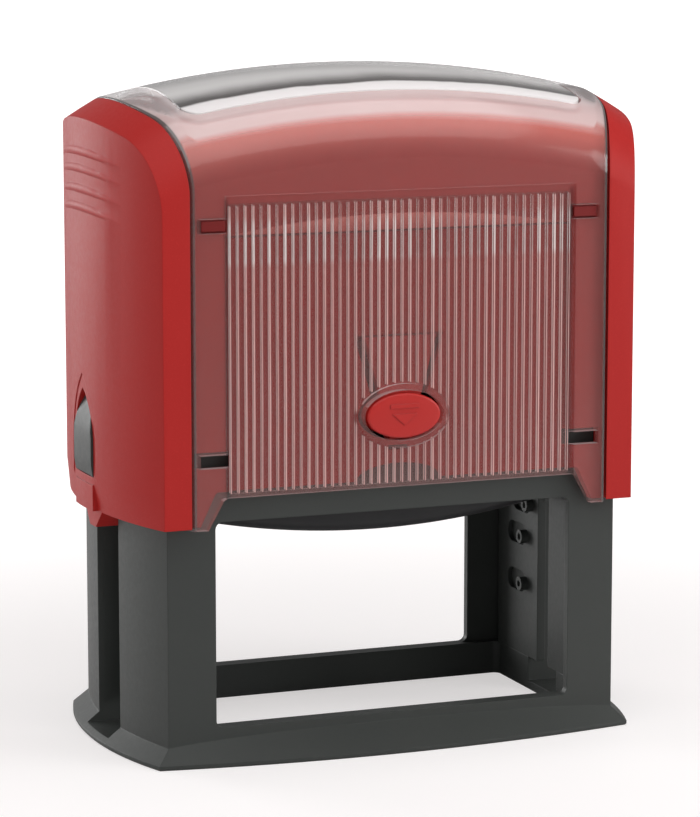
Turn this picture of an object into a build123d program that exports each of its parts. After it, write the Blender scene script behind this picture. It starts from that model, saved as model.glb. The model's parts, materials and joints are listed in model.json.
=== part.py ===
from build123d import *
import os
from math import acos, cos, sin, sqrt

# Self-inking office stamp, at rest, standing on its foot.
# X runs along the text plate, Y from front to back, Z up; the origin is under the middle of the foot.
# All sizes are in millimetres.

os.makedirs("parts", exist_ok=True)

# ---------------------------------------------------------------- driving dimensions
PLATE_LENGTH = 75.0         # printed area, long way
PLATE_DEPTH = 38.0          # printed area, short way
TRAVEL = 44.0               # how far the housing is pressed down
FACE_REACH = 9.5            # axle to the face of the text plate
WALL = 1.9                  # wall of the frame
END_WALL = 1.6              # end walls of the housing, at their corners
DECK_THICKNESS = 2.5        # deck that closes the frame and carries the spring
TRAY_DEPTH = 9.5            # ink tray, rim to back
FRAME_BOW = 4.2             # outward bow of the frame's end walls
FRAME_SIDE_ROOM = 13.0      # end of the text plate to the frame's corner
FRAME_DEPTH_ROOM = 9.2      # front of the text plate to the frame's front face
SPRING_ROOM = 20.5          # deck to the outside of the roof at full press

# ---------------------------------------------------------------- clearances
RUN_GAP = 0.5               # housing to frame, and slides in their slots
BEARING_GAP = 0.06          # running fit of a pin in its bore, on the radius
FIT_GAP = 0.03              # fixed fit of a pin in its bore, on the radius
SEAT_GAP = 0.2              # cover to the red wall behind it
PAD_GAP = 1.5               # text plate to ink pad at rest
WINDOW_GAP = 0.4            # loose lid to its opening
BUTTON_GAP = 0.6            # button to its hole in the cover
CUT_ROOM = 1.0              # how far a cut starts outside the face that it opens

# ---------------------------------------------------------------- frame
FRAME_X = PLATE_LENGTH / 2 + FRAME_SIDE_ROOM
FRAME_Y = PLATE_DEPTH / 2 + FRAME_DEPTH_ROOM
AXLE_Z = FACE_REACH + TRAVEL
SILL_Z = 7.4
OPENING_X = PLATE_LENGTH / 2 + 2.5
OPENING_TOP = AXLE_Z - 2.6
OPENING_RADIUS = 1.6
PAD_FACE = AXLE_Z + FACE_REACH + PAD_GAP
TRAY_RIM = 0.5              # the tray's rim stands this far past the pad's face
TRAY_BOTTOM = PAD_FACE - TRAY_RIM
TRAY_TOP = TRAY_BOTTOM + TRAY_DEPTH
TRAY_ROOM = 2.5             # over the tray, under the deck
FRAME_TOP = TRAY_TOP + TRAY_ROOM
DECK_TOP = FRAME_TOP + DECK_THICKNESS
DECK_CHAMFER = 0.5

FOOT_X = FRAME_X + 2.8
FOOT_Y = FRAME_Y + 2.3
FOOT_END_BOW = 5.3
FOOT_FRONT_BOW = 4.8
RIM_HEIGHT = 1.0
RIM_EDGE = 0.35
FLARE_TOP = 7.0
FLARE_X = FRAME_X - 2.8
FLARE_Y = FRAME_Y - 2.2
FLARE_END_BOW = 3.1
FOOT_OPEN_X = FRAME_X - 3.5
FOOT_OPEN_Y = FRAME_Y - 3.7
SHELF_DEPTH = 1.1           # shelves inside the walls that carry the ink tray
SHELF_LENGTH = 60.0
SHELF_THICKNESS = 1.5

CAP_HALF = 7.0              # half width of the axle cap that slides in the side slot
SLOT_HALF = CAP_HALF + RUN_GAP
SLOT_FLOOR = 1.9
TRACK_RIB = 1.8
GUIDE_FACE = FOOT_OPEN_X
GUIDE_THICKNESS = 2.0
GUIDE_HALF = FOOT_OPEN_Y
GUIDE_TOP = TRAY_TOP - 0.5
PIN_RADIUS = 2.5
PIN_ROOM = 0.4
BOSS_RADIUS = 1.55
BOSS_BORE = 0.75
BOSS_HEIGHT = 1.7
BOSS_LOW = (9.4, AXLE_Z - 29.5)
BOSS_MIDDLE = (9.4, AXLE_Z - 18.7)
BOSS_HIGH = (6.8, AXLE_Z - 11.0)
POCKET_RADIUS = 2.4
POCKET_DEPTH = 1.0
POCKET_SHIFT = 4.9
POCKET_GAP = 0.1

# ---------------------------------------------------------------- ink pad
TRAY_X = GUIDE_FACE - 1.0
TRAY_Y = GUIDE_HALF
TRAY_WALL = 1.6
PAD_SIDE_GAP = 0.3
PAD_TOP_GAP = 0.1
TRAY_FLOOR = 1.6
TRAY_ROUND = 2.0

# ---------------------------------------------------------------- housing and cover
COVER_THICKNESS = 1.8
SEAT = COVER_THICKNESS + SEAT_GAP
SHELL_WALL = 2.1
CAVITY = SEAT + SHELL_WALL
HOUSING_X = FRAME_X + 2.0
HOUSING_Y = FRAME_Y + RUN_GAP + CAVITY
HOUSING_BOW = 7.2
HOUSING_LOW = AXLE_Z - 2.8
TUCK = 1.2                  # the end walls draw in over their lowest stretch
TUCK_HEIGHT = 7.0
CAVITY_X = HOUSING_X - END_WALL
CAVITY_BOW = 6.8
TOP = DECK_TOP + TRAVEL + SPRING_ROOM

ROLL_RADIUS = 226.0         # the top's curve along X
CROWN_RADIUS = 80.0         # its curve along Y
SHOULDER_RADIUS = 16.0      # where the top turns down into the front and the back
BAND_RISE = 7.0             # the band's own dome is higher and more tightly curved
BAND_ROLL = 112.0
BAND_CROWN = 63.0
BAND_SHOULDER = 18.0
BAND_EXTRA = 0.2
ROLL_CORE = 1.0             # the turned section stops just short of its axis

COVER_X = HOUSING_X - 6.5
COVER_EDGE_GAP = 0.15
COVER_LOW = HOUSING_LOW - 0.5
NOTCH_TOP = AXLE_Z + 3.0
NOTCH_X = OPENING_X - 0.5
NOTCH_ROUND = 1.0
LEG_X = NOTCH_X + 4.1
RED_LIP = 1.2               # the red wall ends this far inside the cover's edge
ARCH_NOTCH_X = 9.5
ARCH_NOTCH_HEIGHT = 3.5

PANEL_X = 38.9
PANEL_TOP = TOP - 24.4
PANEL_DEPTH = 0.9
RIB_COUNT = 44
RIB_PITCH = 1.72
RIB_HEIGHT = 0.35
RIB_LOW = NOTCH_TOP + 1.0
RIB_HIGH = PANEL_TOP - 1.8
RIB_ROOT = 0.3

BROW_Z = TOP - 32.7         # level underside of the sloping brow on the red wall behind the cover
BROW_X = 38.0
BROW_RISE = 3.4
BROW_DEPTH = 1.0            # how far the wall round it is sunk

TAB_X = 41.4
UPPER_TAB = (5.9, 2.9)
UPPER_TAB_Z = TOP - 30.45
LOWER_TAB = (6.5, 2.7)
LOWER_TAB_Z = AXLE_Z + 10.85
SNAP_ROOM = 0.8             # how much larger the red wall's lower snap holes are
LATCH_SLOT = (4.6, 1.0)
LATCH_Z = AXLE_Z + 11.0
LUG_GAP = 0.4
LUG_HEIGHT = 1.2

WINDOW_X = 44.5
WINDOW_Y = 24.5
WINDOW_ROUND = 4.0
WINDOW_THICKNESS = 1.3
CARD_THICKNESS = 0.4
CARD_INSET = 1.0

RIDGE_DROPS = (17.1, 20.7, 24.9, 28.7)
RIDGE_HALF = 21.0
RIDGE_FALL = 2.1
RIDGE_RADIUS = 1.2
RIDGE_PROUD = 0.4
RIDGE_FADE = 0.55

# ---------------------------------------------------------------- side windows
ARCH_HALF = 6.0
ARCH_LOW = AXLE_Z + 4.5
ARCH_HEIGHT = 18.0
ARCH_SPRING = 7.0
ARCH_GAP = 0.15
FLANK = 1.8                 # the shallow flank reaches this far round the side window
FLANK_TALL = 5.0
FLANK_DEPTH = 0.2
INSERT_PROUD = 0.3
INSERT_ROLL = 30.0
INSERT_CENTRE = 6.0

# ---------------------------------------------------------------- lock buttons
BUTTON_Z = AXLE_Z + 18.1
BUTTON_X = 8.2
BUTTON_HEIGHT = 4.7
BUTTON_PROUD = 0.3
HOLE_GAP = 0.9              # button to its hole in the red wall
LIP_X = 2.5                 # half width of the lip at the button's foot
LIP_DROP = 0.45             # how far the lip reaches below the button
ARM_THICKNESS = 1.6
ARM_ROOT = BUTTON_Z + 16.4
ARM_ROOT_X = 8.0
ARM_LOW_X = 3.5
SLIT_ROOT = 2.0
SLIT_LOW = 1.5
SLIT_END = 0.3
PEG = (6.0, 4.0)
PEG_DROP = 3.4
PEG_LENGTH = 0.7
RING_WIDTH = 2.0
RING_PROUD = 0.25
BUTTON_ROUND = 0.5
MARK_HEIGHT = 0.25
MARK_BAR = (6.4, 0.9)
MARK_BAR_RISE = 2.0
MARK_POINT = (5.6, 3.7)     # long side and short sides of the downward mark
MARK_POINT_DROP = 0.4
LOCK_X = BUTTON_X + 2.2
LOCK_LOW = BUTTON_Z - 7.0
LOCK_HIGH = BUTTON_Z + 3.8

# ---------------------------------------------------------------- carrier
CARRIER_X = PLATE_LENGTH / 2 + 3.0
CARRIER_Y = PLATE_DEPTH / 2 - 0.5
BELLY = 8.9
BELLY_END = 4.2
BELLY_ROUND = 2.5
RUBBER_THICKNESS = 1.0
RELIEF_HEIGHT = 0.8
RELIEF_MARGIN = 4.0
RELIEF_LINE = 1.2
RELIEF_BAR = 3.0
RELIEF_ROWS = (0.5, 0.75, 0.62, 0.4)
CUSHION_THICKNESS = 1.2
FLANGE_TOP = FACE_REACH - RUBBER_THICKNESS - RELIEF_HEIGHT - CUSHION_THICKNESS
FLANGE_THICKNESS = 2.0
FLANGE_X = PLATE_LENGTH / 2 + 2.0
FLANGE_Y = PLATE_DEPTH / 2 + 1.5
POCKET_COLUMNS = 3
POCKET_ROWS = 2
CARRIER_RIB = 2.0
CARRIER_END = 4.6
CUSHION_MARGIN = 0.4
CAM_RADIUS = 8.4
CAM_START = CARRIER_X + 0.1
CAM_THICKNESS = 3.2
CAM_FLAT = 7.4
PIN_START = CARRIER_X - 4.0
PIN_END = CAVITY_X + CAVITY_BOW - 0.7
CAP_START = FRAME_X + 0.1
CAP_LOW = AXLE_Z - 7.0
CAP_TOP = AXLE_Z + 18.0
CAP_SEAT_GAP = 0.05
CAP_CHAMFER = 5.0

# ---------------------------------------------------------------- return spring
WIRE = 1.4
COIL_RADIUS = 11.3
COIL_TURNS = 9
SEAT_RING = 2.0
CUP_WALL = 1.6
CUP_DEPTH = 3.0
CUP_GAP = 0.3
SPRING_TOP = TOP - CAVITY - 2.0

FAR = 400.0                 # longer than the object, for cuts that run right through


def bowed_outline(half_x, half_y, end_bow, front_bow=0.0):
    """Plan outline: a rectangle with bowed ends, and a bowed front and back where that is given."""
    with BuildSketch() as outline:
        with BuildLine():
            for side in (1, -1):
                start = (side * half_x, -side * half_y)
                end = (side * half_x, side * half_y)
                ThreePointArc(start, (side * (half_x + end_bow), 0), end)
                if front_bow:
                    ThreePointArc(end, (0, side * (half_y + front_bow)), (-side * half_x, side * half_y))
                else:
                    Line(end, (-side * half_x, side * half_y))
        make_face()
    return outline.sketch


def dome(inset, top=TOP, half_y=HOUSING_Y, crown=CROWN_RADIUS, shoulder=SHOULDER_RADIUS, roll=ROLL_RADIUS):
    """Solid under the domed top, drawn in evenly by inset: its section across Y, turned about an axis
    that lies level along Y far below."""
    crown_centre = top - crown
    shoulder_y = half_y - shoulder
    shoulder_z = crown_centre + sqrt((crown - shoulder) ** 2 - shoulder_y**2)
    slope = (shoulder_z - crown_centre) / (crown - shoulder)
    lean = shoulder_y / (crown - shoulder)
    reach = crown - inset
    join = (lean * reach, crown_centre + slope * reach)
    side = half_y - inset
    floor = top - roll + ROLL_CORE
    turn = acos(lean) / 2
    middle = (
        shoulder_y + (shoulder - inset) * cos(turn),
        shoulder_z + (shoulder - inset) * sin(turn),
    )
    with BuildPart() as solid:
        with BuildSketch(Plane.YZ):
            with BuildLine():
                ThreePointArc((-join[0], join[1]), (0, top - inset), join)
                ThreePointArc(join, middle, (side, shoulder_z))
                Polyline((side, shoulder_z), (side, floor), (-side, floor), (-side, shoulder_z))
                ThreePointArc((-side, shoulder_z), (-middle[0], middle[1]), (-join[0], join[1]))
            make_face()
        axis = Axis((0, 0, top - roll), (0, 1, 0))
        revolve(axis=axis, revolution_arc=90)
        mirror(about=Plane.YZ)
    return solid.part


def pointed_arch(half_width, low, height, spring):
    """Pointed arch, drawn in Y and Z: upright sides up to the spring, then two arcs to the point."""
    rise = height - spring
    radius = (half_width**2 + rise**2) / (2 * half_width)
    with BuildSketch() as arch:
        with BuildLine():
            Line((-half_width, low + spring), (-half_width, low))
            Line((-half_width, low), (half_width, low))
            Line((half_width, low), (half_width, low + spring))
            RadiusArc((half_width, low + spring), (0, low + height), -radius)
            RadiusArc((0, low + height), (-half_width, low + spring), -radius)
        make_face()
    return arch.sketch


def edge_notch(grow):
    """Cut-out that lifts the lower edge over the frame's crossbar, between two slanting legs."""
    low = COVER_LOW - CUT_ROOM
    with BuildSketch() as notch:
        with BuildLine():
            Polyline(
                (-LEG_X - grow, low),
                (-NOTCH_X - grow, NOTCH_TOP + grow),
                (NOTCH_X + grow, NOTCH_TOP + grow),
                (LEG_X + grow, low),
                close=True,
            )
        make_face()
        fillet(notch.vertices().group_by(Axis.Y)[-1], radius=NOTCH_ROUND)
    return notch.sketch


def brow(y_side):
    """Lens-shaped brow on the front or rear wall: a cone about a low axis along Y, cut off level below."""
    brow_radius = (BROW_X**2 + BROW_RISE**2) / (2 * BROW_RISE)
    axis_z = BROW_Z + BROW_RISE - brow_radius
    face_y = y_side * (HOUSING_Y - SEAT)
    sunk_y = face_y - y_side * BROW_DEPTH
    root_y = sunk_y - y_side * BROW_DEPTH / 2
    with BuildPart() as solid:
        with BuildSketch(Plane.YZ):
            with BuildLine():
                top_z = BROW_Z + BROW_RISE
                Polyline((root_y, BROW_Z), (face_y, BROW_Z), (sunk_y, top_z), (root_y, top_z), close=True)
            make_face()
        revolve(axis=Axis((0, 0, axis_z), (0, 1, 0)))
        with BuildSketch(Plane.XZ):
            with Locations((0, BROW_Z + BROW_RISE / 2)):
                Rectangle(2 * BROW_X, BROW_RISE)
        extrude(amount=FAR, both=True, mode=Mode.INTERSECT)
    return solid.part


# ================================================================ frame
frame_plan = bowed_outline(FRAME_X, FRAME_Y, FRAME_BOW)

with BuildPart() as base_frame:
    # The foot: an upright rim, then a flare up to the walls.
    with BuildSketch():
        add(bowed_outline(FOOT_X, FOOT_Y, FOOT_END_BOW, FOOT_FRONT_BOW))
    extrude(amount=RIM_HEIGHT)
    with BuildSketch(Plane.XY.offset(RIM_HEIGHT)):
        add(bowed_outline(FOOT_X, FOOT_Y, FOOT_END_BOW, FOOT_FRONT_BOW))
    with BuildSketch(Plane.XY.offset(FLARE_TOP)):
        add(bowed_outline(FLARE_X, FLARE_Y, FLARE_END_BOW))
    loft(ruled=True)
    chamfer(base_frame.edges().group_by(Axis.Z)[0], length=RIM_EDGE)
    # The walls, open inside.
    with BuildSketch(Plane.XY.offset(RIM_HEIGHT)):
        add(frame_plan)
    extrude(amount=FRAME_TOP - RIM_HEIGHT)
    with BuildSketch(Plane.XY.offset(SILL_Z)):
        add(bowed_outline(FRAME_X - WALL, FRAME_Y - WALL, FRAME_BOW))
    extrude(amount=FRAME_TOP, mode=Mode.SUBTRACT)
    with BuildSketch():
        RectangleRounded(2 * FOOT_OPEN_X, 2 * FOOT_OPEN_Y, OPENING_RADIUS)
    extrude(amount=SILL_Z, mode=Mode.SUBTRACT)
    # Ribs on both sides of each side slot, for the cam guides to lie on.
    with BuildSketch(Plane.XY.offset(SILL_Z)):
        with GridLocations(2 * (FRAME_X + FRAME_BOW), 2 * SLOT_HALF + TRACK_RIB, 2, 2):
            Rectangle(2 * (FRAME_BOW + FRAME_X - GUIDE_FACE - GUIDE_THICKNESS), TRACK_RIB)
        add(frame_plan, mode=Mode.INTERSECT)
    extrude(amount=FRAME_TOP - SILL_Z)
    # Shelves that carry the ink tray.
    shelf_inner = FOOT_OPEN_Y - SHELF_DEPTH
    shelf_outer = FRAME_Y - WALL / 2
    with Locations(Plane.XY.offset(TRAY_BOTTOM - SHELF_THICKNESS / 2)):
        with GridLocations(0, shelf_inner + shelf_outer, 1, 2):
            Box(SHELF_LENGTH, shelf_outer - shelf_inner, SHELF_THICKNESS)
    # Front and back openings over the text plate.
    with BuildSketch(Plane.XZ):
        with Locations((0, (SILL_Z + OPENING_TOP) / 2)):
            RectangleRounded(2 * OPENING_X, OPENING_TOP - SILL_Z, OPENING_RADIUS)
    extrude(amount=FAR, both=True, mode=Mode.SUBTRACT)
    # Windows that the lock buttons snap into.
    with BuildSketch(Plane.XZ):
        with Locations((0, (LOCK_LOW + LOCK_HIGH) / 2)):
            RectangleRounded(2 * LOCK_X, LOCK_HIGH - LOCK_LOW, OPENING_RADIUS)
    extrude(amount=FAR, both=True, mode=Mode.SUBTRACT)
    # Side slots for the axle caps.
    with BuildSketch(Plane.YZ):
        with Locations((0, (SLOT_FLOOR + FRAME_TOP) / 2)):
            Rectangle(2 * SLOT_HALF, FRAME_TOP - SLOT_FLOOR)
    extrude(amount=FAR, both=True, mode=Mode.SUBTRACT)
base_frame.part.label = "base_frame"
export_step(base_frame.part, "parts/base_frame.step")

for side, name in ((-1, "left_cam_guide"), (1, "right_cam_guide")):
    inner_face = Plane((side * GUIDE_FACE, 0, 0), x_dir=(0, 1, 0), z_dir=(1, 0, 0))
    with BuildPart() as cam_guide:
        with BuildSketch(inner_face):
            with Locations((0, (SILL_Z + GUIDE_TOP) / 2)):
                Rectangle(2 * GUIDE_HALF, GUIDE_TOP - SILL_Z)
            with Locations((0, (SILL_Z + AXLE_Z) / 2)):
                slot_length = AXLE_Z - SILL_Z + 2 * (PIN_RADIUS + PIN_ROOM)
                Rectangle(2 * (PIN_RADIUS + PIN_ROOM), slot_length, mode=Mode.SUBTRACT)
        extrude(amount=side * GUIDE_THICKNESS)
        with BuildSketch(inner_face):
            with Locations(BOSS_LOW, BOSS_MIDDLE, BOSS_HIGH):
                Circle(BOSS_RADIUS)
        extrude(amount=-side * BOSS_HEIGHT)
        with BuildSketch(inner_face):
            for place in (BOSS_LOW, BOSS_MIDDLE, BOSS_HIGH):
                with Locations((place[0] + POCKET_SHIFT, place[1])):
                    SlotOverall(2 * POCKET_SHIFT, 2 * POCKET_RADIUS)
                with Locations(place):
                    Circle(BOSS_RADIUS + POCKET_GAP, mode=Mode.SUBTRACT)
        extrude(amount=side * POCKET_DEPTH, mode=Mode.SUBTRACT)
        with BuildSketch(inner_face.offset(-side * BOSS_HEIGHT)):
            with Locations(BOSS_LOW, BOSS_MIDDLE, BOSS_HIGH):
                Circle(BOSS_BORE)
        extrude(amount=side * BOSS_HEIGHT, mode=Mode.SUBTRACT)
    cam_guide.part.label = name
    export_step(cam_guide.part, f"parts/{name}.step")

with BuildPart() as spring_deck:
    with BuildSketch(Plane.XY.offset(FRAME_TOP)):
        add(frame_plan)
    extrude(amount=DECK_TOP - FRAME_TOP)
    chamfer(spring_deck.edges().group_by(Axis.Z)[-1], length=DECK_CHAMFER)
    with BuildSketch(Plane.XY.offset(DECK_TOP)):
        Circle(COIL_RADIUS - WIRE / 2 - CUP_GAP)
    extrude(amount=SEAT_RING)
    with BuildSketch(Plane.XY.offset(FRAME_TOP)):
        Circle(COIL_RADIUS - WIRE / 2 - CUP_GAP - CUP_WALL)
    extrude(amount=DECK_TOP, mode=Mode.SUBTRACT)
spring_deck.part.label = "spring_deck"
export_step(spring_deck.part, "parts/spring_deck.step")

# ================================================================ ink pad
with BuildPart() as ink_tray:
    with BuildSketch(Plane.XY.offset(TRAY_BOTTOM)):
        RectangleRounded(2 * TRAY_X, 2 * TRAY_Y, TRAY_ROUND)
    extrude(amount=TRAY_TOP - TRAY_BOTTOM)
    with BuildSketch(Plane.XY.offset(TRAY_BOTTOM)):
        RectangleRounded(2 * (TRAY_X - TRAY_WALL), 2 * (TRAY_Y - TRAY_WALL), TRAY_ROUND)
    extrude(amount=TRAY_TOP - TRAY_FLOOR - TRAY_BOTTOM, mode=Mode.SUBTRACT)
ink_tray.part.label = "ink_tray"
export_step(ink_tray.part, "parts/ink_tray.step")

pad_inset = TRAY_WALL + PAD_SIDE_GAP
with BuildPart() as ink_pad:
    with BuildSketch(Plane.XY.offset(PAD_FACE)):
        RectangleRounded(2 * (TRAY_X - pad_inset), 2 * (TRAY_Y - pad_inset), TRAY_ROUND)
    extrude(amount=TRAY_TOP - TRAY_FLOOR - PAD_TOP_GAP - PAD_FACE)
ink_pad.part.label = "ink_pad"
export_step(ink_pad.part, "parts/ink_pad.step")

# ================================================================ housing
band_dome = dome(0.0, TOP + BAND_RISE, HOUSING_Y + BAND_EXTRA, BAND_CROWN, BAND_SHOULDER, BAND_ROLL)
side_window = pointed_arch(ARCH_HALF + ARCH_GAP, ARCH_LOW - ARCH_GAP, ARCH_HEIGHT + 2 * ARCH_GAP, ARCH_SPRING)
side_flank = pointed_arch(ARCH_HALF + FLANK, ARCH_LOW - FLANK, ARCH_HEIGHT + FLANK_TALL, ARCH_SPRING)

with BuildPart() as cover_seat:
    with BuildSketch(Plane.XY.offset(COVER_LOW - CUT_ROOM)):
        add(bowed_outline(COVER_X + COVER_EDGE_GAP, HOUSING_Y + CUT_ROOM, HOUSING_BOW))
    extrude(amount=TOP)
    add(dome(SEAT), mode=Mode.SUBTRACT)

with BuildPart() as cavity:
    with BuildSketch(Plane.XY.offset(HOUSING_LOW - CUT_ROOM)):
        add(bowed_outline(CAVITY_X, HOUSING_Y - CAVITY, CAVITY_BOW))
    extrude(amount=TOP)
    add(dome(CAVITY), mode=Mode.INTERSECT)

# What the end walls stand proud of, down in the shallow flank round each side window.
with BuildPart() as flank_cut:
    with BuildSketch(Plane.YZ):
        add(side_flank)
    extrude(amount=FAR, both=True)
    with BuildSketch(Plane.XY.offset(HOUSING_LOW)):
        add(bowed_outline(HOUSING_X - FLANK_DEPTH, HOUSING_Y, HOUSING_BOW))
    extrude(amount=TOP, mode=Mode.SUBTRACT)

with BuildPart() as housing_shell:
    # Outer form: bowed ends that tuck in at the bottom, under the dome and its sloping end bands.
    with BuildSketch(Plane.XY.offset(HOUSING_LOW)):
        add(bowed_outline(HOUSING_X, HOUSING_Y, HOUSING_BOW - TUCK))
    with BuildSketch(Plane.XY.offset(HOUSING_LOW + TUCK_HEIGHT)):
        add(bowed_outline(HOUSING_X, HOUSING_Y, HOUSING_BOW))
    loft(ruled=True)
    with BuildSketch(Plane.XY.offset(HOUSING_LOW + TUCK_HEIGHT)):
        add(bowed_outline(HOUSING_X, HOUSING_Y, HOUSING_BOW))
    extrude(amount=TOP)
    # Straight columns under the side windows, where the walls round them tuck in.
    with BuildSketch(Plane.XY.offset(HOUSING_LOW)):
        add(bowed_outline(HOUSING_X, HOUSING_Y, HOUSING_BOW))
        Rectangle(FAR, 2 * ARCH_HALF, mode=Mode.INTERSECT)
    extrude(amount=TUCK_HEIGHT)
    add(dome(0.0), mode=Mode.INTERSECT)
    add(band_dome, mode=Mode.INTERSECT)
    # Finger ridges on the ends: round bars that follow the wall and fade out into it.
    end_radius = (HOUSING_Y**2 + HOUSING_BOW**2) / (2 * HOUSING_BOW)
    sunk = RIDGE_RADIUS - RIDGE_PROUD
    middle_x = HOUSING_X + HOUSING_BOW - sunk
    end_x = middle_x - RIDGE_HALF**2 / (2 * end_radius) - RIDGE_FADE
    for side in (1, -1):
        for drop in RIDGE_DROPS:
            end_z = TOP - drop - RIDGE_FALL
            ridge_path = Edge.make_three_point_arc(
                (side * end_x, -RIDGE_HALF, end_z),
                (side * middle_x, 0, TOP - drop),
                (side * end_x, RIDGE_HALF, end_z),
            )
            with BuildSketch(Plane(origin=ridge_path @ 0, z_dir=ridge_path % 0)):
                Circle(RIDGE_RADIUS)
            sweep(path=ridge_path)
    add(cavity.part, mode=Mode.SUBTRACT)
    add(cover_seat.part, mode=Mode.SUBTRACT)
    # The red wall behind the cover ends inside the cover's edge, front and back.
    with BuildSketch(Plane.XZ):
        add(edge_notch(RED_LIP))
        with Locations((0, NOTCH_TOP + RED_LIP)):
            Ellipse(ARCH_NOTCH_X, ARCH_NOTCH_HEIGHT)
    extrude(amount=FAR, both=True, mode=Mode.SUBTRACT)
    # Openings for the lock buttons and the tapered arms that they hang from.
    with BuildSketch(Plane.XZ):
        with Locations((0, BUTTON_Z)):
            Ellipse(BUTTON_X + HOLE_GAP, BUTTON_HEIGHT + HOLE_GAP)
        with BuildLine():
            slit_low = ARM_LOW_X + SLIT_LOW
            slit_root = ARM_ROOT_X + SLIT_ROOT
            root = ARM_ROOT + SLIT_END
            Polyline(
                (-slit_low, BUTTON_Z),
                (slit_low, BUTTON_Z),
                (slit_root, root),
                (-slit_root, root),
                close=True,
            )
        make_face()
        # Latch slot under the button.
        with Locations((0, LATCH_Z)):
            Rectangle(*LATCH_SLOT)
        # Snap holes at the lower corners of the ribbed panel.
        with Locations((TAB_X, LOWER_TAB_Z), (-TAB_X, LOWER_TAB_Z)):
            Rectangle(LOWER_TAB[0] + 2 * SNAP_ROOM, LOWER_TAB[1] + SNAP_ROOM)
    extrude(amount=FAR, both=True, mode=Mode.SUBTRACT)
    # Sunk panel with a sloping brow across it, and the snap lugs, on both faces.
    for y_side in (-1, 1):
        wall_face = Plane.XZ.offset(-y_side * (HOUSING_Y - SEAT))
        with BuildSketch(wall_face):
            with Locations((0, (RIB_LOW + RIB_HIGH) / 2)):
                Rectangle(2 * BROW_X, RIB_HIGH - RIB_LOW)
        extrude(amount=y_side * BROW_DEPTH, mode=Mode.SUBTRACT)
        add(brow(y_side))
        with BuildSketch(wall_face):
            with Locations((TAB_X, UPPER_TAB_Z), (-TAB_X, UPPER_TAB_Z)):
                Rectangle(UPPER_TAB[0] - 2 * LUG_GAP, UPPER_TAB[1] - 2 * LUG_GAP)
        extrude(amount=-y_side * LUG_HEIGHT)
    # Side windows and their shallow flanks.
    add(flank_cut.part, mode=Mode.SUBTRACT)
    with BuildSketch(Plane.YZ):
        add(side_window)
    extrude(amount=FAR, both=True, mode=Mode.SUBTRACT)
housing_shell.part.label = "housing_shell"
export_step(housing_shell.part, "parts/housing_shell.step")

with BuildPart() as clear_cover:
    with BuildSketch(Plane.XY.offset(COVER_LOW)):
        add(bowed_outline(COVER_X, HOUSING_Y, HOUSING_BOW))
    extrude(amount=TOP)
    add(dome(0.0), mode=Mode.INTERSECT)
    add(band_dome, mode=Mode.INTERSECT)
    add(dome(COVER_THICKNESS), mode=Mode.SUBTRACT)
    for y_side in (-1, 1):
        # Recessed panel with a row of lens-shaped ribs.
        with BuildSketch(Plane.XZ.offset(-y_side * HOUSING_Y)):
            with Locations((0, (COVER_LOW + PANEL_TOP) / 2)):
                Rectangle(2 * PANEL_X, PANEL_TOP - COVER_LOW)
        extrude(amount=y_side * PANEL_DEPTH, mode=Mode.SUBTRACT)
        root_y = y_side * (HOUSING_Y - PANEL_DEPTH)
        with BuildSketch(Plane.XY.offset(RIB_LOW)):
            with BuildLine():
                first_x = -RIB_COUNT * RIB_PITCH / 2
                for rib in range(RIB_COUNT):
                    start = first_x + rib * RIB_PITCH
                    crest = (start + RIB_PITCH / 2, root_y + y_side * RIB_HEIGHT)
                    ThreePointArc((start, root_y), crest, (start + RIB_PITCH, root_y))
                buried = root_y - y_side * RIB_ROOT
                Polyline((-first_x, root_y), (-first_x, buried), (first_x, buried), (first_x, root_y))
            make_face()
        extrude(amount=RIB_HIGH - RIB_LOW)
    # Soft raised rings round the button holes.
    with BuildSketch(Plane.XZ.offset(HOUSING_Y - COVER_THICKNESS)):
        with Locations((0, BUTTON_Z)):
            Ellipse(BUTTON_X + RING_WIDTH, BUTTON_HEIGHT + RING_WIDTH)
    extrude(amount=COVER_THICKNESS + RING_PROUD)
    with BuildSketch(Plane.XZ.offset(-(HOUSING_Y - COVER_THICKNESS))):
        with Locations((0, BUTTON_Z)):
            Ellipse(BUTTON_X + RING_WIDTH, BUTTON_HEIGHT + RING_WIDTH)
    extrude(amount=-(COVER_THICKNESS + RING_PROUD))
    with BuildSketch(Plane.XZ):
        with Locations((0, BUTTON_Z)):
            Ellipse(BUTTON_X + BUTTON_GAP, BUTTON_HEIGHT + BUTTON_GAP)
        with Locations((TAB_X, LOWER_TAB_Z), (-TAB_X, LOWER_TAB_Z)):
            Rectangle(*LOWER_TAB)
        with Locations((TAB_X, UPPER_TAB_Z), (-TAB_X, UPPER_TAB_Z)):
            Rectangle(*UPPER_TAB)
        add(edge_notch(0.0))
    extrude(amount=FAR, both=True, mode=Mode.SUBTRACT)
    # Opening for the lift-off window in the top.
    with BuildSketch(Plane.XY.offset(PANEL_TOP)):
        RectangleRounded(2 * (WINDOW_X + WINDOW_GAP), 2 * (WINDOW_Y + WINDOW_GAP), WINDOW_ROUND)
    extrude(amount=TOP, mode=Mode.SUBTRACT)
clear_cover.part.label = "clear_cover"
export_step(clear_cover.part, "parts/clear_cover.step")

with BuildPart() as index_window:
    with BuildSketch(Plane.XY.offset(PANEL_TOP)):
        RectangleRounded(2 * WINDOW_X, 2 * WINDOW_Y, WINDOW_ROUND)
    extrude(amount=TOP)
    add(dome(0.0), mode=Mode.INTERSECT)
    add(dome(WINDOW_THICKNESS), mode=Mode.SUBTRACT)
index_window.part.label = "index_window"
export_step(index_window.part, "parts/index_window.step")

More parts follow.
